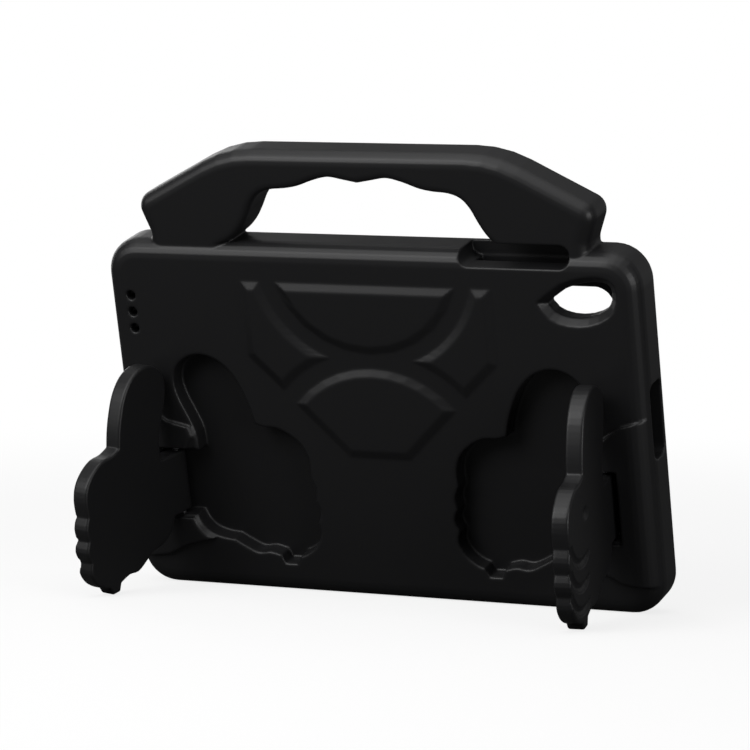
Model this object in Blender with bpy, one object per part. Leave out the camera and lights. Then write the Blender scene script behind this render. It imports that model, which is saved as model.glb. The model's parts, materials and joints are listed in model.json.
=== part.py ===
"""Kids tablet case: a foam shell with a carrying handle and two hand-shaped stands that fold into its back.

The pieces are drawn in the case's own frame: X to the right as seen from the back, Y from the back face
towards the screen, Z up from the bottom edge. At the end one empty leans the case back on its open stands.
"""

import math

import bmesh
import bpy
import numpy as np
from mathutils import Matrix, Vector
from mathutils.geometry import intersect_line_sphere_2d

MM = 0.001

# Tablet that the pocket is made for, and the room left round it
TABLET_WIDTH = 210.0 * MM
TABLET_HEIGHT = 124.4 * MM
TABLET_THICKNESS = 8.0 * MM
TABLET_CORNER_RADIUS = 8.0 * MM
TABLET_CLEARANCE = 0.4 * MM

# Shell walls and outer edges
SIDE_WALL = 12.6 * MM
END_WALL = 13.9 * MM
BACK_WALL = 9.8 * MM
LIP_THICKNESS = 3.6 * MM
LIP_OVERLAP = 5.0 * MM
SHELL_CORNER_RADIUS = 14.5 * MM
BACK_EDGE_RADIUS = 7.0 * MM
FRONT_EDGE_RADIUS = 4.0 * MM

# Handle, with heights above the shell's top edge
HANDLE_RISE = 39.0 * MM
HANDLE_TOP_HALF = 59.4 * MM
HANDLE_TOP_RADIUS = 50.0 * MM
SHOULDER_HALF = 102.2 * MM
SHOULDER_RISE = 17.0 * MM
SHOULDER_RADIUS = 6.5 * MM
NECK_HALF = 97.0 * MM
NECK_RISE = 3.0 * MM
NECK_RADIUS = 6.0 * MM
HANDLE_BACK_SETBACK = 2.0 * MM
HANDLE_FRONT_SETBACK = 0.3 * MM
HANDLE_BACK_RADIUS = 5.5 * MM
HANDLE_FRONT_RADIUS = 3.5 * MM
GRIP_EDGE_RADIUS = 2.5 * MM
HANDLE_ROOT = 6.0 * MM
GRIP_EDGE = (
    (0.0, 26.3),
    (6.5, 27.5),
    (13.0, 28.5),
    (20.0, 26.9),
    (27.0, 24.4),
    (33.0, 23.3),
    (39.5, 22.7),
    (44.6, 20.7),
    (48.2, 16.6),
    (51.0, 11.2),
    (54.4, 5.8),
    (59.0, 1.4),
    (65.0, -1.6),
)

# Stands: outline of the closed right hand as distance from its hinge and height above the shell's bottom
STAND_THICKNESS = 7.4 * MM
STAND_EDGE_RADIUS = 1.2 * MM
KNUCKLE_ROUND_SHARE = 0.98
STAND_CLEARANCE = 1.0 * MM
RECESS_FLOOR_CLEARANCE = 0.6 * MM
RECESS_RIM_RADIUS = 1.0 * MM
RECESS_RIM_TURNS = (20.0, 50.0, 90.0)
RECESS_RIM_START_SHARE = 0.05
HINGE_INSET = 21.4 * MM
LEFT_OPENING_DEG = 103.3
RIGHT_OPENING_DEG = 93.8
TAB_BOTTOM = 34.0
TAB_TOP = 61.0
THUMB = (
    (13.8, TAB_TOP),
    (13.4, 69.8),
    (10.4, 77.6),
    (7.2, 84.8),
    (5.7, 91.6),
    (7.2, 97.8),
    (12.4, 102.2),
    (19.0, 103.4),
    (26.0, 100.9),
    (31.6, 95.2),
    (35.2, 88.0),
    (37.6, 81.0),
    (39.0, 74.4),
)
INDEX_FINGER = (
    (39.0, 74.4),
    (44.0, 72.8),
    (50.2, 72.4),
    (56.2, 69.3),
    (60.6, 64.6),
    (62.4, 58.5),
    (62.1, 52.0),
)
MIDDLE_FINGER = ((62.1, 52.0), (64.1, 47.0), (63.4, 42.0))
RING_FINGER = ((63.4, 42.0), (65.2, 37.3), (63.4, 32.5))
LITTLE_FINGER = ((63.4, 32.5), (64.3, 27.6), (61.7, 22.6), (57.4, 19.2), (54.2, 18.0))
FOOT_NUB = ((54.2, 18.0), (52.4, 14.6), (48.2, 14.6), (46.8, 17.9))
PALM_HEEL = ((46.8, 17.9), (41.0, 19.4), (35.5, 18.8), (29.8, 21.4), (25.2, 24.0))
WRIST = ((25.2, 24.0), (19.5, 24.6), (14.2, 26.6), (11.0, 30.0), (9.4, TAB_BOTTOM))

# Grooves between the folded fingers and the dimple by the thumb, in the same two coordinates
FINGER_GROOVE_RADIUS = 15.2 * MM
FINGER_GROOVE_WIDTH = 4.8 * MM
FINGER_GROOVE_DEPTH = 1.2 * MM
FINGER_GROOVE_TURN = (-15.0, -121.0)
FINGER_GROOVE_CENTRES = ((46.5, 56.4), (48.5, 46.9), (49.8, 37.6))
FINGER_GROOVE_END_SHARE = 0.55
FINGER_GROOVE_FADE_POINTS = 3
THUMB_DIMPLE = (40.0, 58.8)
THUMB_DIMPLE_SIZE = (10.5, 7.5)
THUMB_DIMPLE_DEPTH = 1.0 * MM
THUMB_BALL_DEPTH = 3.0 * MM

# Hinge pins and the raised knuckles of the shell that hold them
PIN_DIAMETER = 3.0 * MM
PIN_GRIP = 8.0 * MM
PIN_CLEARANCE = 0.3 * MM
HINGE_SIDE_GAP = 0.5 * MM
KNUCKLE_RISE = 2.0 * MM
KNUCKLE_ROUNDING = 6.0 * MM
KNUCKLE_EDGE_SHARE = 0.97
KNUCKLE_SIDE_SETBACK = 0.3 * MM

# Edge of a knuckle as distance outboard of the hinge and height above the tab's top or below its bottom
KNUCKLE_TOP = ((-17.0, 10.0), (0.0, 14.0), (10.0, 21.0))
KNUCKLE_TOP_AT_SIDE = 24.0
KNUCKLE_BOTTOM = ((-17.0, 10.5), (-4.0, 14.0), (6.0, 19.0))
KNUCKLE_BOTTOM_AT_SIDE = 21.0

# Rounded inner ends of the ears, past which the stand swings
EAR_END_RADIUS = 1.8 * MM
EAR_END_TURNS = (15.0, 45.0, 75.0)
EAR_SHEAR = 0.1 * MM
EAR_FOOT = 0.45 * MM
EAR_CORNER = (13.6, 68.0)
EAR_REACH_IN = 24.0

# Raised panels on the back: a round lens at the top, two wings round it and a fan below
PANEL_RISE = 1.5 * MM
PANEL_SLOPE = 3.6 * MM
PANEL_ROOT = 0.5 * MM
PANEL_TOP_INSET = 15.4 * MM
LENS_RADIUS = 42.5 * MM
LENS_CENTRE_INSET = 2.5 * MM
WING_INNER_RADIUS = 48.5 * MM
WING_SIDE_HALF = 55.7 * MM
WING_SIDE_INSET = 47.6 * MM
WING_TIP_HALF = 41.1 * MM
WING_TIP_INSET = 61.8 * MM
WING_MIDDLE_HALF = 3.0 * MM
FAN_CENTRE_INSET = 97.8 * MM
FAN_RADIUS = 46.8 * MM
FAN_GAP = 7.0 * MM
FAN_TIP_HALF = 35.9 * MM
FAN_BOTTOM_HALF = 13.6 * MM
FAN_BOTTOM_INSET = 90.2 * MM

# Openings for the tablet's camera, buttons, port and loudspeaker
CAMERA_TIP_SIDE_INSET = 43.6 * MM
CAMERA_TIP_TOP_INSET = 20.4 * MM
CAMERA_OUTLINE = (
    (0.0, 0.0),
    (10.7, 8.0),
    (20.3, 11.0),
    (28.2, 11.3),
    (33.6, 8.4),
    (34.4, 1.0),
    (30.4, -5.4),
    (21.7, -9.2),
    (12.5, -9.4),
    (4.9, -6.6),
)
CAMERA_FLARE = 3.0 * MM
CAMERA_FLARE_DEPTH = 3.2 * MM
BUTTON_SLOT_START = 42.2 * MM
BUTTON_SLOT_END = 89.4 * MM
BUTTON_SLOT_DROP = 6.4 * MM
BUTTON_SLOT_HEADROOM = 3.0 * MM
BUTTON_SLOT_RADIUS = 4.0 * MM
BUTTON_SLOT_FRONT_COVER = 5.0 * MM
BUTTON_SHAFT_SETBACK = 0.3 * MM
PORT_SLOT_BOTTOM = 66.0 * MM
PORT_SLOT_TOP = 97.5 * MM
PORT_SLOT_BACK_COVER = 5.6 * MM
PORT_SLOT_FRONT_SETBACK = 0.3 * MM
PORT_SLOT_RADIUS = 3.5 * MM
SPEAKER_HOLE_DIAMETER = 4.0 * MM
SPEAKER_HOLE_PITCH = 7.2 * MM
SPEAKER_HOLE_COUNT = 3
SPEAKER_SIDE_INSET = 10.8 * MM
SPEAKER_TOP_INSET = 23.4 * MM
SOUND_CHANNEL_MARGIN = 1.0 * MM
SOUND_CHANNEL_BACK_SETBACK = 0.3 * MM
SOUND_CHANNEL_FRONT_SETBACK = 1.3 * MM

# Smoothness of the round stretches
ARC_STEP_DEG = 12.0
CURVE_STEPS = 3
CAMERA_CURVE_STEPS = 2
PANEL_ARC_STEPS = 10
EDGE_STEPS = 4
HOLE_SIDES = 20
SHARP_DEG = 30.0
SMOOTH_DEG = 35.0
LEAST_MITRE = 0.5

# Margins of the modelling itself: how far cutters stick out, what counts as one plane or one point
CUT_MARGIN = 3.0 * MM
SAME_PLANE = 0.01 * MM
SAME_POINT = 0.002 * MM
FLAT_ANGLE = 0.001
LEAN_STEP = 0.0000001

# Sizes that follow from the ones above
SHELL_WIDTH = TABLET_WIDTH + 2 * (TABLET_CLEARANCE + SIDE_WALL)
SHELL_HEIGHT = TABLET_HEIGHT + 2 * (TABLET_CLEARANCE + END_WALL)
POCKET_DEPTH = TABLET_THICKNESS + TABLET_CLEARANCE
SHELL_DEPTH = BACK_WALL + POCKET_DEPTH + LIP_THICKNESS
POCKET_BACK = BACK_WALL
POCKET_FRONT = BACK_WALL + POCKET_DEPTH
POCKET_TOP = SHELL_HEIGHT - END_WALL
HINGE_X = SHELL_WIDTH / 2 - HINGE_INSET
HINGE_Y = STAND_THICKNESS / 2
RECESS_DEPTH = STAND_THICKNESS + RECESS_FLOOR_CLEARANCE
PIN_BOTTOM = TAB_BOTTOM * MM - STAND_CLEARANCE - PIN_GRIP
PIN_TOP = TAB_TOP * MM + STAND_CLEARANCE + PIN_GRIP


def clear_scene():
    for thing in list(bpy.data.objects):
        bpy.data.objects.remove(thing, do_unlink=True)


def new_collection(name):
    collection = bpy.data.collections.new(name)
    bpy.context.scene.collection.children.link(collection)
    return collection


def new_material(name, colour, roughness, metallic):
    material = bpy.data.materials.new(name)
    material.use_nodes = True
    shader = material.node_tree.nodes["Principled BSDF"]
    shader.inputs["Base Color"].default_value = (*colour, 1.0)
    shader.inputs["Roughness"].default_value = roughness
    shader.inputs["Metallic"].default_value = metallic
    return material


def arc(centre, radius, start_deg, end_deg, step_deg=ARC_STEP_DEG):
    """Points along an arc of the XZ plane, both ends included."""
    steps = max(2, math.ceil(abs(end_deg - start_deg) / step_deg))
    return even_arc(centre, radius, start_deg, end_deg, steps)


def even_arc(centre, radius, start_deg, end_deg, steps=PANEL_ARC_STEPS):
    """Points along an arc in a set number of steps, both ends included."""
    points = []
    for i in range(steps + 1):
        angle = math.radians(start_deg + (end_deg - start_deg) * i / steps)
        points.append((centre[0] + radius * math.cos(angle), centre[1] + radius * math.sin(angle)))
    return points


def filleted(corners):
    """A closed outline from corners (x, z, radius), each turned into a tangent arc."""
    points = []
    count = len(corners)
    for i, (x, z, radius) in enumerate(corners):
        here = Vector((x, z))
        before = (Vector(corners[i - 1][:2]) - here).normalized()
        after = (Vector(corners[(i + 1) % count][:2]) - here).normalized()
        if radius <= 0:
            points.append((x, z))
            continue
        half = before.angle(after) / 2
        centre = here + (before + after).normalized() * (radius / math.sin(half))
        first = here + before * (radius / math.tan(half)) - centre
        last = here + after * (radius / math.tan(half)) - centre
        start = math.degrees(math.atan2(first.y, first.x))
        turn = (math.degrees(math.atan2(last.y, last.x)) - start + 180) % 360 - 180
        points += arc(centre, radius, start, start + turn)
    return points


def smoothed(points, steps=CURVE_STEPS):
    """A smooth path through the points, without its last point, so that runs can be joined."""
    path = []
    for i in range(len(points) - 1):
        a = Vector(points[max(i - 1, 0)])
        b = Vector(points[i])
        c = Vector(points[i + 1])
        d = Vector(points[min(i + 2, len(points) - 1)])
        for k in range(steps):
            t = k / steps
            bend = 2 * a - 5 * b + 4 * c - d
            twist = 3 * b - a - 3 * c + d
            path.append(tuple(b + 0.5 * ((c - a) * t + bend * t**2 + twist * t**3)))
    return path


def offset_outline(points, distance):
    """The closed outline moved outward by the distance, whichever way round it runs."""
    area = sum(p[0] * q[1] - q[0] * p[1] for p, q in zip(points, points[1:] + points[:1]))
    side = 1.0 if area > 0 else -1.0
    moved = []
    for i, point in enumerate(points):
        before = (Vector(point) - Vector(points[i - 1])).normalized()
        after = (Vector(points[(i + 1) % len(points)]) - Vector(point)).normalized()
        normal_before = Vector((before.y, -before.x)) * side
        normal_after = Vector((after.y, -after.x)) * side
        mitre = (normal_before + normal_after).normalized()
        moved.append(tuple(Vector(point) + mitre * (distance / max(mitre.dot(normal_after), LEAST_MITRE))))
    return moved


def mesh_from_curve(curve_object, name, collection):
    """The curve as a mesh object with welded caps, in place of the curve."""
    bpy.context.view_layer.update()
    evaluated = curve_object.evaluated_get(bpy.context.evaluated_depsgraph_get())
    mesh = bpy.data.meshes.new_from_object(evaluated)
    mesh.name = name
    shape = bmesh.new()
    shape.from_mesh(mesh)
    bmesh.ops.remove_doubles(shape, verts=shape.verts, dist=SAME_PLANE)
    bmesh.ops.dissolve_limit(shape, angle_limit=FLAT_ANGLE, verts=shape.verts, edges=shape.edges)
    bmesh.ops.recalc_face_normals(shape, faces=shape.faces)
    shape.to_mesh(mesh)
    shape.free()
    mesh.transform(curve_object.matrix_world)
    bpy.data.objects.remove(curve_object, do_unlink=True)
    result = bpy.data.objects.new(name, mesh)
    collection.objects.link(result)
    return result


def plate(name, outline, start, end, collection, axis="Y"):
    """A flat outline in XZ made solid from one Y to another, or an outline in XY from one Z to another."""
    curve = bpy.data.curves.new(name, "CURVE")
    curve.dimensions = "2D"
    curve.fill_mode = "BOTH"
    curve.extrude = (end - start) / 2
    spline = curve.splines.new("POLY")
    spline.points.add(len(outline) - 1)
    for point, (x, z) in zip(spline.points, outline):
        point.co = (x, z, 0.0, 1.0)
    spline.use_cyclic_u = True
    flat = bpy.data.objects.new(name, curve)
    bpy.context.scene.collection.objects.link(flat)
    middle = (start + end) / 2
    if axis == "Y":
        flat.rotation_euler = (math.pi / 2, 0.0, 0.0)
        flat.location = (0.0, middle, 0.0)
    else:
        flat.location = (0.0, 0.0, middle)
    return mesh_from_curve(flat, name, collection)


def layered_plate(name, layers, collection):
    """A solid through outlines in XZ with the same number of points, each at its own Y."""
    shape = bmesh.new()
    rings = [[shape.verts.new((x, y, z)) for x, z in outline] for y, outline in layers]
    for ring, following in zip(rings, rings[1:]):
        for i in range(len(ring)):
            shape.faces.new((ring[i - 1], ring[i], following[i], following[i - 1]))
    shape.faces.new(rings[0])
    shape.faces.new(rings[-1])
    bmesh.ops.remove_doubles(shape, verts=shape.verts, dist=SAME_POINT)
    bmesh.ops.recalc_face_normals(shape, faces=shape.faces)
    mesh = bpy.data.meshes.new(name)
    shape.to_mesh(mesh)
    shape.free()
    solid = bpy.data.objects.new(name, mesh)
    collection.objects.link(solid)
    return solid


def reshape(thing, change):
    """Runs a change on the object's mesh."""
    shape = bmesh.new()
    shape.from_mesh(thing.data)
    change(shape)
    shape.to_mesh(thing.data)
    shape.free()


def round_edges(thing, radius, chosen, steps=EDGE_STEPS):
    """Rounds the sharp edges that the choice picks by their two end points."""

    def change(shape):
        edges = [
            edge
            for edge in shape.edges
            if len(edge.link_faces) == 2
            and edge.calc_face_angle() > math.radians(SHARP_DEG)
            and chosen(edge.verts[0].co, edge.verts[1].co)
        ]
        bmesh.ops.bevel(
            shape, geom=edges, offset=radius, segments=steps, profile=0.5, affect="EDGES", clamp_overlap=True
        )

    reshape(thing, change)


def on_plane(axis, value):
    """A choice of the edges that lie in one plane across the axis, 0 for X, 1 for Y, 2 for Z."""
    return lambda a, b: max(abs(a[axis] - value), abs(b[axis] - value)) < SAME_PLANE


def mirrored_copy(thing, name, collection):
    """A copy on the other side of the case's middle plane."""
    mesh = thing.data.copy()
    mesh.transform(Matrix.Scale(-1, 4, Vector((1, 0, 0))))
    mesh.flip_normals()
    copy = bpy.data.objects.new(name, mesh)
    collection.objects.link(copy)
    return copy


def boolean(target, tool, operation, solver="EXACT"):
    """Joins or cuts the target with the tool, which stays in its collection as a guide."""
    modifier = target.modifiers.new(tool.name, "BOOLEAN")
    modifier.operation = operation
    modifier.solver = solver
    modifier.object = tool
    tool.hide_render = True
    tool.display_type = "WIRE"
    bpy.context.view_layer.update()
    evaluated = target.evaluated_get(bpy.context.evaluated_depsgraph_get())
    mesh = bpy.data.meshes.new_from_object(evaluated)
    target.modifiers.clear()
    target.data = mesh
    reshape(target, drop_slivers)


def drop_slivers(shape):
    """Merges the hair-thin edges that a cut leaves."""
    bmesh.ops.remove_doubles(shape, verts=shape.verts, dist=SAME_POINT)
    bmesh.ops.dissolve_degenerate(shape, edges=shape.edges, dist=SAME_POINT)


def shade(thing, material):
    thing.data.materials.clear()
    thing.data.materials.append(material)
    thing.data.shade_smooth()
    thing.data.set_sharp_from_angle(angle=math.radians(SMOOTH_DEG))


def shell_block(collection):
    """The outer block of the shell, with its rounded corners and rims."""
    half = SHELL_WIDTH / 2
    corner = SHELL_CORNER_RADIUS
    outline = filleted(
        [(-half, 0, corner), (half, 0, corner), (half, SHELL_HEIGHT, corner), (-half, SHELL_HEIGHT, corner)]
    )
    block = plate("case_body", outline, 0.0, SHELL_DEPTH, collection)
    round_edges(block, BACK_EDGE_RADIUS, on_plane(1, 0.0), EDGE_STEPS + 1)
    round_edges(block, FRONT_EDGE_RADIUS, on_plane(1, SHELL_DEPTH))
    return block


def handle_bridge(collection):
    """The handle, a flat bridge over the shell's top edge with finger waves on its grip."""
    top = SHELL_HEIGHT
    right_outside = filleted(
        [
            (0.0, top + HANDLE_RISE, 0.0),
            (HANDLE_TOP_HALF, top + HANDLE_RISE, HANDLE_TOP_RADIUS),
            (SHOULDER_HALF, top + SHOULDER_RISE, SHOULDER_RADIUS),
            (NECK_HALF, top + NECK_RISE, NECK_RADIUS),
            (NECK_HALF, top - HANDLE_ROOT, 0.0),
        ]
    )
    last_x, last_rise = GRIP_EDGE[-1]
    grip = smoothed([(x * MM, top + rise * MM) for x, rise in GRIP_EDGE])
    grip.append((last_x * MM, top + last_rise * MM))
    right = right_outside[1:] + [(last_x * MM, top - HANDLE_ROOT)] + grip[:0:-1]
    left = [(-x, z) for x, z in reversed(right)]
    outline = [right_outside[0]] + right + [grip[0]] + left
    back = HANDLE_BACK_SETBACK
    front = SHELL_DEPTH - HANDLE_FRONT_SETBACK
    bridge = plate("handle_bridge", outline, back, front, collection)
    foot = top - HANDLE_ROOT
    grip_top = (max(rise for x, rise in GRIP_EDGE) * MM + HANDLE_RISE) / 2

    def on_grip(a, b):
        return max(abs(a.x), abs(b.x)) < last_x * MM + SAME_PLANE and max(a.z, b.z) < top + grip_top

    def rim(y, grip_side):
        in_rim = on_plane(1, y)
        return lambda a, b: in_rim(a, b) and max(a.z, b.z) > foot + SAME_PLANE and on_grip(a, b) == grip_side

    round_edges(bridge, HANDLE_BACK_RADIUS, rim(back, False), EDGE_STEPS + 1)
    round_edges(bridge, HANDLE_FRONT_RADIUS, rim(front, False))
    round_edges(bridge, GRIP_EDGE_RADIUS, rim(back, True), EDGE_STEPS - 1)
    round_edges(bridge, GRIP_EDGE_RADIUS, rim(front, True), EDGE_STEPS - 1)
    return bridge


def in_plan(run):
    """The run's points in the XZ plane of the closed right hand, hinge at x = 0."""
    return [(-u * MM, z * MM) for u, z in run]


def hand_outline(tab_end):
    """The closed right hand from its hinge tab round the thumb, the fingers and the palm, hinge at x = 0."""
    path = []
    for run in (THUMB, INDEX_FINGER, MIDDLE_FINGER, RING_FINGER, LITTLE_FINGER):
        path += smoothed(in_plan(run))
    path += in_plan(FOOT_NUB[:-1])
    for run in (PALM_HEEL, WRIST):
        path += smoothed(in_plan(run))
    wrist_u, wrist_z = WRIST[-1]
    path.append((-wrist_u * MM, wrist_z * MM))
    path.append((tab_end, TAB_BOTTOM * MM))
    path.append((tab_end, TAB_TOP * MM))
    return path


def hinge_side_reach():
    """How far outboard of its axis the open stand's outer face comes where it leaves the raised knuckle."""
    opening = math.radians(max(LEFT_OPENING_DEG, RIGHT_OPENING_DEG))
    half = STAND_THICKNESS / 2
    height = HINGE_Y + KNUCKLE_RISE
    along = (height - half * math.cos(opening)) / math.sin(opening)
    return half * math.sin(opening) - along * math.cos(opening) + HINGE_SIDE_GAP


def hand_plate(collection):
    """The right hand, lying closed with its hinge on the local Z axis."""
    half = STAND_THICKNESS / 2
    hand = plate("right_stand", hand_outline(half), -half, half, collection)
    tab_end = on_plane(0, half)
    faces = (on_plane(1, -half), on_plane(1, half))
    tab_ends = (on_plane(2, TAB_BOTTOM * MM), on_plane(2, TAB_TOP * MM))

    def knuckle_edge(face):
        return lambda a, b: tab_end(a, b) and face(a, b)

    def rim(a, b):
        if any(face(a, b) for face in faces):
            return min(a.x, b.x) < -half
        return any(end(a, b) for end in tab_ends) and max(a.x, b.x) > -SAME_PLANE

    for face in faces:
        round_edges(hand, half * KNUCKLE_ROUND_SHARE, knuckle_edge(face), EDGE_STEPS + 1)
    round_edges(hand, STAND_EDGE_RADIUS, rim, EDGE_STEPS - 1)
    return hand


def finger_groove(centre, collection):
    """A round-bottomed groove that curls in from the valley between two fingers."""
    curve = bpy.data.curves.new("finger_groove", "CURVE")
    curve.dimensions = "3D"
    curve.bevel_depth = FINGER_GROOVE_WIDTH / 2
    curve.bevel_resolution = 2
    curve.use_fill_caps = True
    start, end = FINGER_GROOVE_TURN
    path = arc((centre[0] * MM, centre[1] * MM), FINGER_GROOVE_RADIUS, start, end)
    spline = curve.splines.new("POLY")
    spline.points.add(len(path) - 1)
    y = -STAND_THICKNESS / 2 + FINGER_GROOVE_DEPTH - FINGER_GROOVE_WIDTH / 2
    for i, (point, (u, z)) in enumerate(zip(spline.points, path)):
        point.co = (-u, y, z, 1.0)
        to_end = (len(path) - 1 - i) / FINGER_GROOVE_FADE_POINTS
        point.radius = min(1.0, FINGER_GROOVE_END_SHARE + to_end)
    tube = bpy.data.objects.new("finger_groove", curve)
    bpy.context.scene.collection.objects.link(tube)
    return mesh_from_curve(tube, "finger_groove", collection)


def thumb_dimple(collection):
    """A shallow oval dimple beside the thumb, pressed by a ball that reaches in by its depth."""
    bpy.ops.mesh.primitive_uv_sphere_add(segments=16, ring_count=8, radius=1.0)
    dimple = bpy.context.object
    dimple.name = "thumb_dimple"
    for holder in list(dimple.users_collection):
        holder.objects.unlink(dimple)
    collection.objects.link(dimple)
    width, height = THUMB_DIMPLE_SIZE
    ball_y = THUMB_DIMPLE_DEPTH - THUMB_BALL_DEPTH - STAND_THICKNESS / 2
    place = Vector((-THUMB_DIMPLE[0] * MM, ball_y, THUMB_DIMPLE[1] * MM))
    size = Matrix.Diagonal((width / 2 * MM, THUMB_BALL_DEPTH, height / 2 * MM, 1.0))
    dimple.data.transform(Matrix.Translation(place) @ size)
    return dimple


def cylinder(name, radius, start, end, centre, collection):
    """A round bar along Z."""
    mesh = bpy.data.meshes.new(name)
    shape = bmesh.new()
    bmesh.ops.create_cone(
        shape, cap_ends=True, segments=HOLE_SIDES, radius1=radius, radius2=radius, depth=end - start
    )
    bmesh.ops.translate(shape, verts=shape.verts, vec=(centre[0], centre[1], (start + end) / 2))
    shape.to_mesh(mesh)
    shape.free()
    bar = bpy.data.objects.new(name, mesh)
    collection.objects.link(bar)
    return bar


def knuckle_pad(collection):
    """The raised pad on the right that carries the hinge pin above and below the stand's tab."""
    outer = SHELL_WIDTH / 2 - KNUCKLE_SIDE_SETBACK
    top = [(HINGE_X + x * MM, (TAB_TOP + rise) * MM) for x, rise in KNUCKLE_TOP]
    bottom = [(HINGE_X + x * MM, (TAB_BOTTOM - drop) * MM) for x, drop in KNUCKLE_BOTTOM]
    top.append((outer, (TAB_TOP + KNUCKLE_TOP_AT_SIDE) * MM))
    bottom.append((outer, (TAB_BOTTOM - KNUCKLE_BOTTOM_AT_SIDE) * MM))
    root = BACK_EDGE_RADIUS + KNUCKLE_RISE
    pad = plate("right_knuckle_pad", bottom + top[::-1], -KNUCKLE_RISE, root, collection)
    on_top = on_plane(1, -KNUCKLE_RISE)
    on_side = on_plane(0, outer)
    side_radius = root * KNUCKLE_EDGE_SHARE
    round_edges(pad, side_radius, lambda a, b: on_top(a, b) and on_side(a, b), EDGE_STEPS + 2)
    round_edges(pad, KNUCKLE_ROUNDING, lambda a, b: max(a.y, b.y) < side_radius, EDGE_STEPS)
    return pad


def line_moved(start, end, distance):
    """The line through two points, moved to its left."""
    start, end = Vector(start), Vector(end)
    along = (end - start).normalized()
    aside = Vector((-along.y, along.x)) * distance
    return start + aside, end + aside


def at_height(line, z):
    """The line's point at a height."""
    start, end = line
    return start + (end - start) * ((z - start.y) / (end.y - start.y))


def at_width(line, x):
    """The line's point at a distance from the middle plane."""
    start, end = line
    return start + (end - start) * ((x - start.x) / (end.x - start.x))


def angle_on_circle(line, centre, radius, near):
    """The angle in degrees at which the line meets the circle, at the crossing that lies nearer to a point."""
    crossings = intersect_line_sphere_2d(*line, centre, radius, False)
    spot = min(crossings, key=lambda crossing: (crossing - Vector(near)).length) - centre
    return math.degrees(math.atan2(spot.y, spot.x))


def fan_outline(inset):
    """The fan below the middle of the back, its edges moved inward by the inset."""
    centre = Vector((0.0, SHELL_HEIGHT - FAN_CENTRE_INSET))
    tip = (FAN_TIP_HALF, centre.y + math.sqrt(FAN_RADIUS**2 - FAN_TIP_HALF**2))
    foot = (FAN_BOTTOM_HALF, SHELL_HEIGHT - FAN_BOTTOM_INSET)
    side = line_moved(foot, tip, inset)
    start = angle_on_circle(side, centre, FAN_RADIUS - inset, tip)
    corner = at_height(side, foot[1] + inset)
    outline = even_arc(centre, FAN_RADIUS - inset, start, 180 - start)
    return outline + [(-corner.x, corner.y), (corner.x, corner.y)]


def lens_outline(inset):
    """The round lens under the handle, cut off straight at its top, its edges moved inward by the inset."""
    radius = LENS_RADIUS - inset
    drop = PANEL_TOP_INSET + inset - LENS_CENTRE_INSET
    end = math.degrees(math.asin(drop / radius))
    return even_arc((0.0, SHELL_HEIGHT - LENS_CENTRE_INSET), radius, 180 + end, 360 - end)


def wing_outline(inset):
    """The right wing between the lens, the fan and the side, its edges moved inward by the inset."""
    high_centre = Vector((0.0, SHELL_HEIGHT - LENS_CENTRE_INSET))
    low_centre = Vector((0.0, SHELL_HEIGHT - FAN_CENTRE_INSET))
    high_radius = WING_INNER_RADIUS + inset
    low_radius = FAN_RADIUS + FAN_GAP + inset
    spread = high_centre.y - low_centre.y
    height = (low_radius**2 - high_radius**2 + spread**2) / (2 * spread)
    meet = max(math.sqrt(max(low_radius**2 - height**2, 0.0)), WING_MIDDLE_HALF + inset)
    tip = (WING_TIP_HALF, SHELL_HEIGHT - WING_TIP_INSET)
    foot = (WING_SIDE_HALF, SHELL_HEIGHT - WING_SIDE_INSET)
    under = line_moved(tip, foot, inset)
    low_start = angle_on_circle(under, low_centre, low_radius, tip)
    drop = PANEL_TOP_INSET + inset - LENS_CENTRE_INSET
    high_start = -math.degrees(math.acos(meet / high_radius))
    high_end = -math.degrees(math.asin(drop / high_radius))
    outline = even_arc(low_centre, low_radius, low_start, math.degrees(math.acos(meet / low_radius)))
    outline += even_arc(high_centre, high_radius, high_start, high_end)
    side = WING_SIDE_HALF - inset
    return outline + [(side, SHELL_HEIGHT - PANEL_TOP_INSET - inset), tuple(at_width(under, side))]


def raised_panel(name, outline_at, collection):
    """A panel with sloped edges that stands out from the back, where its slopes start on the outline."""
    top_edge = outline_at(PANEL_SLOPE)
    root_edge = outline_at(-PANEL_SLOPE * PANEL_ROOT / PANEL_RISE)
    layers = [(-PANEL_RISE, top_edge), (PANEL_ROOT, root_edge), (CUT_MARGIN, root_edge)]
    return layered_plate(name, layers, collection)


def camera_cutter(collection):
    """The leaf-shaped camera opening, flared towards the back."""
    tip_x = SHELL_WIDTH / 2 - CAMERA_TIP_SIDE_INSET
    tip_z = SHELL_HEIGHT - CAMERA_TIP_TOP_INSET
    closed_path = smoothed(CAMERA_OUTLINE + CAMERA_OUTLINE[:1], CAMERA_CURVE_STEPS)
    rim = [(tip_x + x * MM, tip_z + z * MM) for x, z in closed_path]
    throat = offset_outline(rim, -CAMERA_FLARE)
    mouth = offset_outline(rim, CAMERA_FLARE * CUT_MARGIN / CAMERA_FLARE_DEPTH)
    hole = plate("camera_hole", throat, -CUT_MARGIN, POCKET_BACK + CUT_MARGIN, collection)

    def flare(shape):
        everything = list(shape.verts) + list(shape.edges) + list(shape.faces)
        throat_start = (0.0, CAMERA_FLARE_DEPTH, 0.0)
        bmesh.ops.bisect_plane(
            shape, geom=everything, plane_co=throat_start, plane_no=(0.0, 1.0, 0.0), dist=SAME_POINT
        )
        for vertex in shape.verts:
            if vertex.co.y < 0:
                here = Vector((vertex.co.x, vertex.co.z))
                nearest = min(range(len(throat)), key=lambda i: (Vector(throat[i]) - here).length)
                vertex.co.x, vertex.co.z = mouth[nearest]

    reshape(hole, flare)
    return hole


def box_outline(left, right, bottom, top, radius):
    corners = ((left, bottom), (right, bottom), (right, top), (left, top))
    return filleted([(*corner, radius) for corner in corners])


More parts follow.
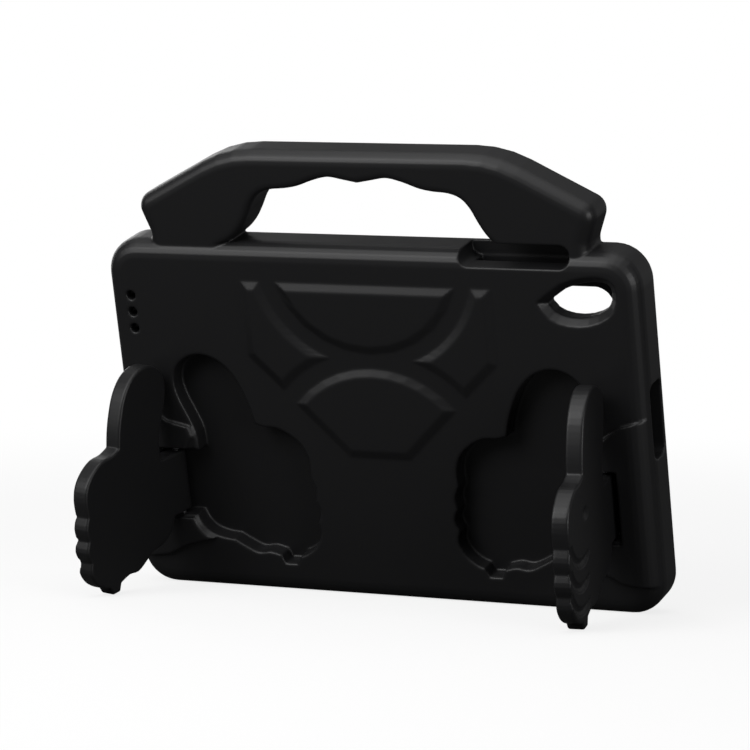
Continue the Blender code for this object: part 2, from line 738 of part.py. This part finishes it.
def shell_cutters(collection):
    """The pocket, the screen window and every opening of the shell."""
    cutters = []
    half = TABLET_WIDTH / 2 + TABLET_CLEARANCE
    pocket = box_outline(-half, half, END_WALL, POCKET_TOP, TABLET_CORNER_RADIUS)
    window = box_outline(
        LIP_OVERLAP - half,
        half - LIP_OVERLAP,
        END_WALL + LIP_OVERLAP,
        POCKET_TOP - LIP_OVERLAP,
        TABLET_CORNER_RADIUS,
    )
    middle = (POCKET_BACK + POCKET_FRONT) / 2
    cutters.append(plate("screen_window", window, middle, SHELL_DEPTH + CUT_MARGIN, collection))
    cutters.append(plate("tablet_pocket", pocket, POCKET_BACK, POCKET_FRONT, collection))
    cutters.append(camera_cutter(collection))

    slot_top = SHELL_HEIGHT + BUTTON_SLOT_HEADROOM
    slot = box_outline(
        BUTTON_SLOT_START, BUTTON_SLOT_END, SHELL_HEIGHT - BUTTON_SLOT_DROP, slot_top, BUTTON_SLOT_RADIUS
    )
    slot_front = SHELL_DEPTH - BUTTON_SLOT_FRONT_COVER
    cutters.append(plate("button_slot", slot, -CUT_MARGIN, slot_front, collection))
    margin = BUTTON_SLOT_RADIUS
    shaft = box_outline(
        BUTTON_SLOT_START + margin, BUTTON_SLOT_END - margin, POCKET_TOP - CUT_MARGIN, slot_top - margin, 0.0
    )
    shaft_back = POCKET_BACK + BUTTON_SHAFT_SETBACK
    cutters.append(plate("button_shaft", shaft, shaft_back, slot_front - BUTTON_SHAFT_SETBACK, collection))

    port_front = POCKET_FRONT - PORT_SLOT_FRONT_SETBACK
    port = box_outline(PORT_SLOT_BACK_COVER, port_front, PORT_SLOT_BOTTOM, PORT_SLOT_TOP, PORT_SLOT_RADIUS)
    cutters.append(side_plate("port_slot", port, half - CUT_MARGIN, SHELL_WIDTH / 2 + CUT_MARGIN, collection))
    cutters += speaker_cutters(collection)
    return cutters


def side_plate(name, outline, start, end, collection):
    """An outline in YZ made solid from one X to another."""
    slab = plate(name, outline, -end, -start, collection)
    slab.data.transform(Matrix.Rotation(math.pi / 2, 4, "Z"))
    return slab


def speaker_cutters(collection):
    """The row of round loudspeaker holes at the left and the sound channel that joins them to the pocket."""
    x = SPEAKER_SIDE_INSET - SHELL_WIDTH / 2
    first = SHELL_HEIGHT - SPEAKER_TOP_INSET
    last = first - (SPEAKER_HOLE_COUNT - 1) * SPEAKER_HOLE_PITCH
    radius = SPEAKER_HOLE_DIAMETER / 2
    reach = radius + SOUND_CHANNEL_MARGIN
    back = POCKET_BACK + SOUND_CHANNEL_BACK_SETBACK
    front = POCKET_FRONT - SOUND_CHANNEL_FRONT_SETBACK
    into_pocket = CUT_MARGIN - TABLET_WIDTH / 2
    channel = box_outline(x - reach, into_pocket, last - reach, first + reach, SOUND_CHANNEL_MARGIN)
    cutters = [plate("sound_channel", channel, back, front, collection)]
    for i in range(SPEAKER_HOLE_COUNT):
        centre = (x, first - i * SPEAKER_HOLE_PITCH)
        ring = arc(centre, radius, 0, 360, 360 / HOLE_SIDES)[:-1]
        hole_end = back + SOUND_CHANNEL_MARGIN
        cutters.append(plate(f"speaker_hole_{i + 1}", ring, -CUT_MARGIN, hole_end, collection))
    return cutters


def swing_outline():
    """The edge of the closed hand on its hinge's side, with the ears' sheared corner, closed far inboard."""
    path = smoothed(in_plan(WRIST[1:])) + in_plan(WRIST[-1:])
    path += in_plan([(WRIST[-1][0], TAB_TOP), EAR_CORNER])
    path += in_plan(THUMB[2:5])
    return path + in_plan([(EAR_REACH_IN, THUMB[4][1]), (EAR_REACH_IN, WRIST[1][1])])


def stand_room(name, outline, layers, collection):
    """A cutter round the closed right hand, with its extra room beyond the clearance at each height."""
    rings = []
    for y, extra in layers:
        ring = offset_outline(outline, STAND_CLEARANCE + extra)
        rings.append((y, [(HINGE_X + x, z) for x, z in ring]))
    return layered_plate(name, rings, collection)


def hinge_cutters(collection):
    """The right stand's recess with its hinge slot, the room by the ears, and the bore that takes the pin."""
    reach = hinge_side_reach()
    rolled = RECESS_RIM_RADIUS
    above = -KNUCKLE_RISE - CUT_MARGIN
    open_rim = rolled * (1 + RECESS_RIM_START_SHARE)
    layers = [(above, open_rim), (-rolled * RECESS_RIM_START_SHARE, open_rim)]
    for turn in RECESS_RIM_TURNS:
        angle = math.radians(turn)
        layers.append((rolled * (1 - math.cos(angle)), rolled * (1 - math.sin(angle))))
    layers.append((RECESS_DEPTH, 0.0))
    recess = stand_room("right_recess", hand_outline(reach - STAND_CLEARANCE), layers, collection)

    ear = EAR_END_RADIUS
    layers = [(above, open_rim + ear), (-KNUCKLE_RISE - EAR_SHEAR, open_rim + ear)]
    for turn in EAR_END_TURNS:
        angle = math.radians(turn)
        layers.append((ear * (1 - math.cos(angle)) - KNUCKLE_RISE, open_rim + ear * (1 - math.sin(angle))))
    layers.append((-EAR_FOOT, 0.0))
    swing = stand_room("right_swing_room", swing_outline(), layers, collection)

    radius = PIN_DIAMETER / 2 + PIN_CLEARANCE
    bore = cylinder(
        "right_pin_bore",
        radius,
        PIN_BOTTOM - PIN_CLEARANCE,
        PIN_TOP + PIN_CLEARANCE,
        (HINGE_X, HINGE_Y),
        collection,
    )
    return swing, recess, bore


def build_case_body(parts, guides, material):
    body = shell_block(parts)
    boolean(body, handle_bridge(guides), "UNION")
    pad = knuckle_pad(guides)
    # The exact solver loses the body at the left pad, whose rounded edge nearly meets the shell's own
    for tool in (pad, mirrored_copy(pad, "left_knuckle_pad", guides)):
        boolean(body, tool, "UNION", "MANIFOLD")
    right_wing = raised_panel("right_wing_panel", wing_outline, guides)
    for tool in (
        raised_panel("lens_panel", lens_outline, guides),
        right_wing,
        mirrored_copy(right_wing, "left_wing_panel", guides),
        raised_panel("fan_panel", fan_outline, guides),
    ):
        boolean(body, tool, "UNION")
    for tool in shell_cutters(guides):
        boolean(body, tool, "DIFFERENCE")
    swing, recess, bore = hinge_cutters(guides)
    for tool in (
        swing,
        mirrored_copy(swing, "left_swing_room", guides),
        recess,
        mirrored_copy(recess, "left_recess", guides),
        bore,
        mirrored_copy(bore, "left_pin_bore", guides),
    ):
        boolean(body, tool, "DIFFERENCE")
    shade(body, material)
    return body


def build_stands(parts, guides, material):
    right = hand_plate(parts)
    for centre in FINGER_GROOVE_CENTRES:
        boolean(right, finger_groove(centre, guides), "DIFFERENCE")
    boolean(right, thumb_dimple(guides), "DIFFERENCE")
    bore = cylinder(
        "tab_bore",
        PIN_DIAMETER / 2 + PIN_CLEARANCE,
        TAB_BOTTOM * MM - CUT_MARGIN,
        TAB_TOP * MM + CUT_MARGIN,
        (0.0, 0.0),
        guides,
    )
    boolean(right, bore, "DIFFERENCE")
    left = mirrored_copy(right, "left_stand", parts)
    for stand, side, opening in ((left, -1, LEFT_OPENING_DEG), (right, 1, RIGHT_OPENING_DEG)):
        shade(stand, material)
        stand.location = (side * HINGE_X, HINGE_Y, 0.0)
        stand.rotation_euler = (0.0, 0.0, side * math.radians(opening))
    return left, right


def build_pins(parts, material):
    pins = []
    for name, side in (("left_hinge_pin", -1), ("right_hinge_pin", 1)):
        pin = cylinder(name, PIN_DIAMETER / 2, PIN_BOTTOM, PIN_TOP, (0.0, 0.0), parts)
        shade(pin, material)
        pin.location = (side * HINGE_X, HINGE_Y, 0.0)
        pins.append(pin)
    return pins


def world_points(things):
    """Every corner of the objects, in one array."""
    rows = [thing.matrix_world @ vertex.co for thing in things for vertex in thing.data.vertices]
    return np.array([tuple(row) for row in rows])


def leaned(points, lean):
    """Heights and depths of the points once the case is leaned by the angle."""
    depth = points[:, 1] * math.cos(lean) - points[:, 2] * math.sin(lean)
    height = points[:, 1] * math.sin(lean) + points[:, 2] * math.cos(lean)
    return depth, height


def stand_up(body, stands, pins):
    """Leans the case until its back edge and the stands' nubs touch one level, and centres it there."""
    bpy.context.view_layer.update()
    body_points = world_points([body])
    stand_points = world_points(stands)
    low, high = math.radians(1), math.radians(45)
    while high - low > LEAN_STEP:
        lean = (low + high) / 2
        if leaned(stand_points, lean)[1].min() > leaned(body_points, lean)[1].min():
            low = lean
        else:
            high = lean
    every = np.concatenate([body_points, stand_points])
    depth, height = leaned(every, lean)
    rest = bpy.data.objects.new("case_frame", None)
    bpy.context.scene.collection.objects.link(rest)
    rest.rotation_euler = (lean, 0.0, 0.0)
    middle_x = (every[:, 0].min() + every[:, 0].max()) / 2
    rest.location = (-middle_x, -(depth.min() + depth.max()) / 2, -height.min())
    for thing in (body, *stands, *pins):
        thing.parent = rest


def main():
    clear_scene()
    parts = new_collection("kids_tablet_case")
    guides = new_collection("cutters")
    foam = new_material("black_foam", (0.012, 0.012, 0.013), 0.45, 0.0)
    steel = new_material("pin_steel", (0.45, 0.45, 0.46), 0.3, 1.0)
    body = build_case_body(parts, guides, foam)
    stands = build_stands(parts, guides, foam)
    pins = build_pins(parts, steel)
    stand_up(body, stands, pins)


main()
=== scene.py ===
import json
import math

import bpy
from mathutils import Matrix, Vector


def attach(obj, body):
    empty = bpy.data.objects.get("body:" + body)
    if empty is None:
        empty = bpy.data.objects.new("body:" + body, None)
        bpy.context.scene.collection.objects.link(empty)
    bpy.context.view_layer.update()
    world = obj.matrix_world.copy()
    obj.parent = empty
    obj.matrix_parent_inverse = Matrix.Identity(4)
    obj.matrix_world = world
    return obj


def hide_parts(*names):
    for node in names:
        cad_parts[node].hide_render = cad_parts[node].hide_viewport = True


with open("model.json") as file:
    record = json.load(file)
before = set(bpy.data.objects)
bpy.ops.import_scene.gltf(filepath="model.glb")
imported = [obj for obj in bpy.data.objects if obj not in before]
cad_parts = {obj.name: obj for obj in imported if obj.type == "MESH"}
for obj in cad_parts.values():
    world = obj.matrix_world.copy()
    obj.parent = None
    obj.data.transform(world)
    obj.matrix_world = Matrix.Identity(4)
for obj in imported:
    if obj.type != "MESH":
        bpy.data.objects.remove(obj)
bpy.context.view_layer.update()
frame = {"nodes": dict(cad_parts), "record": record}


# The camera stands behind the case and to its right, a little above the middle, with a long lens.
# Its place and turn are those of the photograph, in metres and degrees, and its lens is given as a
# focal length over the picture's width.
CAMERA_PLACE = (0.628, -1.3914, 0.2170)
CAMERA_YAW_DEG = 24.245
CAMERA_DIP_DEG = 4.594
CAMERA_ROLL_DEG = 0.5245
CAMERA_LENS_SHARE = 3764 / 750
CAMERA_SENSOR_MM = 36.0

bpy.ops.object.camera_add()
camera = bpy.context.object
camera.data.sensor_width = CAMERA_SENSOR_MM
camera.data.lens = CAMERA_LENS_SHARE * CAMERA_SENSOR_MM
yaw = Matrix.Rotation(math.radians(CAMERA_YAW_DEG), 4, "Z")
dip = Matrix.Rotation(math.radians(90 - CAMERA_DIP_DEG), 4, "X")
roll = Matrix.Rotation(math.radians(CAMERA_ROLL_DEG), 4, "Z")
camera.matrix_world = Matrix.Translation(CAMERA_PLACE) @ yaw @ dip @ roll
bpy.context.scene.camera = camera


# The studio is a white table that runs off to all sides under a white surround. Soft lamps hang above
# the case and stand at its rear left, and weaker ones fill in from the other sides. The table throws
# back little light, and shows a share of the real shadow near the case, which fades out further away.
TABLE_SIZE = 12.0
TABLE_COLOUR_SEEN = 0.95
TABLE_COLOUR_UNSEEN = 0.08
TABLE_ROUGHNESS = 0.9
SHADOW_SHARE = 0.20
SHADOW_FADE_START = 0.25
SHADOW_FADE_END = 0.80
SURROUND_STRENGTH = 0.05
LAMP_AIM = (0.0, 0.0, 0.09)
# Each lamp has its place, the width of its square face, and its watts.
LAMPS = {
    "left_key": ((-0.57, -1.27, 0.95), 0.8, 10.0),
    "tall_left": ((-1.1, -1.1, 0.60), 0.9, 5.0),
    "overhead_softbox": ((0.0, -0.15, 0.70), 1.1, 3.0),
    "close_overhead": ((0.0, -0.22, 0.60), 0.5, 0.8),
    "rear_strip": ((0.0, 0.5, 0.80), 0.7, 0.2),
    "low_right": ((1.0, -0.45, 0.15), 0.6, 5.5),
    "pale_sheet": ((1.0, 1.9, 0.50), 1.8, 2.0),
    "left_fill": ((-1.2, 1.0, 0.50), 0.9, 6.0),
}

bpy.context.scene.view_settings.view_transform = "Standard"
bpy.ops.mesh.primitive_plane_add(size=TABLE_SIZE)
table_top = bpy.context.object
table_top.name = "white_table"
white_table = bpy.data.materials.new("white_table")
white_table.use_nodes = True
nodes = white_table.node_tree.nodes
links = white_table.node_tree.links
shader = nodes["Principled BSDF"]
shader.inputs["Roughness"].default_value = TABLE_ROUGHNESS
shader.inputs["Specular IOR Level"].default_value = 0.0
seen = nodes.new("ShaderNodeLightPath")
paleness = nodes.new("ShaderNodeMapRange")
paleness.inputs["To Min"].default_value = TABLE_COLOUR_UNSEEN
paleness.inputs["To Max"].default_value = TABLE_COLOUR_SEEN
place = nodes.new("ShaderNodeTexCoord")
distance = nodes.new("ShaderNodeVectorMath")
distance.operation = "LENGTH"
fading = nodes.new("ShaderNodeMapRange")
fading.interpolation_type = "SMOOTHSTEP"
fading.inputs["From Min"].default_value = SHADOW_FADE_START
fading.inputs["From Max"].default_value = SHADOW_FADE_END
fading.inputs["To Min"].default_value = 1.0 - SHADOW_SHARE
fading.inputs["To Max"].default_value = 1.0
share = nodes.new("ShaderNodeMath")
share.operation = "MULTIPLY"
glow = nodes.new("ShaderNodeEmission")
glow.inputs["Strength"].default_value = 1.0
mixed = nodes.new("ShaderNodeMixShader")
links.new(seen.outputs["Is Camera Ray"], paleness.inputs["Value"])
links.new(paleness.outputs["Result"], shader.inputs["Base Color"])
links.new(place.outputs["Object"], distance.inputs[0])
links.new(distance.outputs["Value"], fading.inputs["Value"])
links.new(fading.outputs["Result"], share.inputs[0])
links.new(seen.outputs["Is Camera Ray"], share.inputs[1])
links.new(share.outputs["Value"], mixed.inputs["Fac"])
links.new(shader.outputs["BSDF"], mixed.inputs[1])
links.new(glow.outputs["Emission"], mixed.inputs[2])
links.new(mixed.outputs["Shader"], nodes["Material Output"].inputs["Surface"])
table_top.data.materials.append(white_table)

world = bpy.data.worlds.new("white_surround")
world.use_nodes = True
bpy.context.scene.world = world
nodes = world.node_tree.nodes
links = world.node_tree.links
surround = nodes["Background"]
surround.inputs["Color"].default_value = (1.0, 1.0, 1.0, 1.0)
seen = nodes.new("ShaderNodeLightPath")
level = nodes.new("ShaderNodeMapRange")
level.inputs["To Min"].default_value = SURROUND_STRENGTH
level.inputs["To Max"].default_value = 1.0
links.new(seen.outputs["Is Camera Ray"], level.inputs["Value"])
links.new(level.outputs["Result"], surround.inputs["Strength"])

for name, (place, size, watts) in LAMPS.items():
    bpy.ops.object.light_add(type="AREA", location=place)
    lamp = bpy.context.object
    lamp.name = name
    lamp.data.size = size
    lamp.data.energy = watts
    aim = Vector(LAMP_AIM) - Vector(place)
    lamp.rotation_euler = aim.to_track_quat("-Z", "Y").to_euler()
    lamp.visible_camera = False


# The case is one moulding of black foam: the shell with its pocket, the handle, and the knuckles that
# hold the hinges. Its skin is satin, with a very fine grain from the mould's surface, and every edge
# and crease is rounded, because foam fills no sharp corner of a mould.
MM = 0.001
FOAM_COLOUR = (0.0084, 0.0084, 0.0090, 1.0)
FOAM_ROUGHNESS = 0.42
FOAM_SHINE = 0.35
GRAIN_SIZE = 0.55 * MM
GRAIN_DEPTH = 0.02 * MM
GRAIN_DETAIL = 3.0
GRAIN_STRENGTH = 0.5
WELD_DISTANCE = 0.01 * MM
SOFTENING_FACTOR = 0.5
SOFTENING_PASSES = 3
MOST_TRIANGLES = 190000
SHELL_CELL = 0.5 * MM

foam = bpy.data.materials.new("black_foam")
foam.use_nodes = True
nodes = foam.node_tree.nodes
links = foam.node_tree.links
shader = nodes["Principled BSDF"]
shader.inputs["Base Color"].default_value = FOAM_COLOUR
shader.inputs["Roughness"].default_value = FOAM_ROUGHNESS
shader.inputs["Specular IOR Level"].default_value = FOAM_SHINE
place = nodes.new("ShaderNodeTexCoord")
grain = nodes.new("ShaderNodeTexNoise")
grain.inputs["Scale"].default_value = 1 / GRAIN_SIZE
grain.inputs["Detail"].default_value = GRAIN_DETAIL
bump = nodes.new("ShaderNodeBump")
bump.inputs["Distance"].default_value = GRAIN_DEPTH
bump.inputs["Strength"].default_value = GRAIN_STRENGTH
links.new(place.outputs["Object"], grain.inputs["Vector"])
links.new(grain.outputs["Fac"], bump.inputs["Height"])
links.new(bump.outputs["Normal"], shader.inputs["Normal"])

left_hinge, right_hinge = frame["record"]["behaviour"]["joints"]
LEAN = math.atan2(-left_hinge["axis"][1], left_hinge["axis"][2])


def moulded_skin(node, name, body, cell, opening_deg=0.0):
    """A copy of a solid in its place, with edges and corners softened as foam leaves the mould.

    It is cast in a grid that lies along the leaned case, and along the stand at its opening angle.
    """
    bpy.ops.object.select_all(action="DESELECT")
    solid = frame["nodes"][node]
    bpy.context.view_layer.objects.active = solid
    solid.select_set(True)
    bpy.ops.object.duplicate()
    skin = bpy.context.object
    skin.name = name
    bpy.ops.mesh.customdata_custom_splitnormals_clear()
    bpy.ops.object.mode_set(mode="EDIT")
    bpy.ops.mesh.select_all(action="SELECT")
    bpy.ops.mesh.remove_doubles(threshold=WELD_DISTANCE)
    bpy.ops.object.mode_set(mode="OBJECT")
    opened = Matrix.Rotation(math.radians(opening_deg), 4, "Z")
    leaned = Matrix.Rotation(LEAN, 4, "X") @ opened
    skin.matrix_world = leaned.inverted()
    bpy.ops.object.transform_apply(location=True, rotation=True, scale=True)
    cast = skin.modifiers.new("cast", "REMESH")
    cast.mode = "VOXEL"
    cast.voxel_size = cell
    bpy.ops.object.modifier_apply(modifier="cast")
    soft = skin.modifiers.new("soft", "SMOOTH")
    soft.factor = SOFTENING_FACTOR
    soft.iterations = SOFTENING_PASSES
    bpy.ops.object.modifier_apply(modifier="soft")
    count = sum(len(face.vertices) - 2 for face in skin.data.polygons)
    if count > MOST_TRIANGLES:
        fewer = skin.modifiers.new("fewer", "DECIMATE")
        fewer.ratio = MOST_TRIANGLES / count
        bpy.ops.object.modifier_apply(modifier="fewer")
    skin.matrix_world = leaned
    bpy.ops.object.transform_apply(location=True, rotation=True, scale=True)
    bpy.ops.object.shade_smooth()
    skin.data.materials.clear()
    skin.data.materials.append(foam)
    # The copy carries its solid's tags, and drops them.
    for key in list(skin.keys()):
        del skin[key]
    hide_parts(node)
    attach(skin, body)


moulded_skin("case_body", "moulded_shell", "case", SHELL_CELL)


# The stands are two hands with their thumbs up, moulded flat from the same foam. Each hangs on its
# pin by a rounded tab at the wrist, and folds flush into the recess of its own shape.
STAND_CELL = 0.36 * MM

left_open_deg = -left_hinge["range_deg"][1]
moulded_skin("left_stand", "left_hand_stand", "left_stand", STAND_CELL, left_open_deg)
right_open_deg = right_hinge["range_deg"][1]
moulded_skin("right_stand", "right_hand_stand", "right_stand", STAND_CELL, right_open_deg)


# The hinge pins are bright steel wire, cut to length and pushed into the knuckles. The wire was drawn
# through a die, so fine scratches run along it.
STEEL_COLOUR = (0.45, 0.45, 0.46, 1.0)
STEEL_ROUGHNESS_LEAST = 0.22
STEEL_ROUGHNESS_MOST = 0.42
SCRATCHES_PER_METRE_ACROSS = 6000.0
SCRATCHES_PER_METRE_ALONG = 60.0

steel = bpy.data.materials.new("drawn_steel")
steel.use_nodes = True
nodes = steel.node_tree.nodes
links = steel.node_tree.links
shader = nodes["Principled BSDF"]
shader.inputs["Base Color"].default_value = STEEL_COLOUR
shader.inputs["Metallic"].default_value = 1.0
place = nodes.new("ShaderNodeTexCoord")
stretch = nodes.new("ShaderNodeMapping")
stretch.inputs["Rotation"].default_value = (-LEAN, 0.0, 0.0)
stretch.inputs["Scale"].default_value = (
    SCRATCHES_PER_METRE_ACROSS,
    SCRATCHES_PER_METRE_ACROSS,
    SCRATCHES_PER_METRE_ALONG,
)
scratches = nodes.new("ShaderNodeTexNoise")
scratches.inputs["Scale"].default_value = 1.0
dullness = nodes.new("ShaderNodeMapRange")
dullness.inputs["To Min"].default_value = STEEL_ROUGHNESS_LEAST
dullness.inputs["To Max"].default_value = STEEL_ROUGHNESS_MOST
links.new(place.outputs["Object"], stretch.inputs["Vector"])
links.new(stretch.outputs["Vector"], scratches.inputs["Vector"])
links.new(scratches.outputs["Fac"], dullness.inputs["Value"])
links.new(dullness.outputs["Result"], shader.inputs["Roughness"])
for pin in ("left_hinge_pin", "right_hinge_pin"):
    node = frame["nodes"][pin]
    node.data.materials.clear()
    node.data.materials.append(steel)
